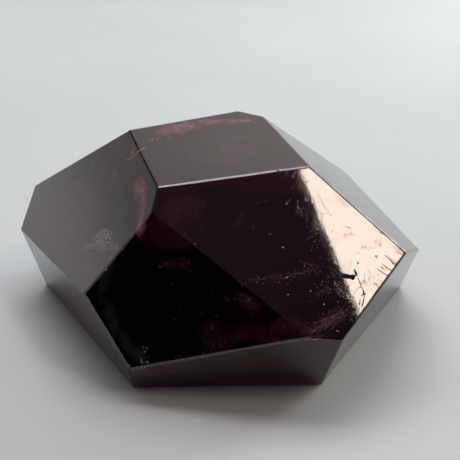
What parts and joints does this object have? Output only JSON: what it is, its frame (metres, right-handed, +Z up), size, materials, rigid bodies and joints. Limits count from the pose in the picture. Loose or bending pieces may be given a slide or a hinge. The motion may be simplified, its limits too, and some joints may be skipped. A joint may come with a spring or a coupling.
{
  "type": "polished garnet crystal",
  "caption": "Cut and polished garnet freeform: a heavy dark red stone with flat facets that rests on its ground base as a display piece or paperweight.",
  "frame": {"origin": "on the ground, under the middle of the stone's bounding box", "axes": "+X along the stone's length, +Y from its low front crown to its back, +Z up, square to the base it rests on"},
  "size_m": [0.0602, 0.0518, 0.0291],
  "materials": {
    "garnet": "ground flat and polished, near-black wine red, clear in thin places"
  },
  "bodies": {
    "root": {"garnet_crystal": "garnet"}
  },
  "joints": []
}
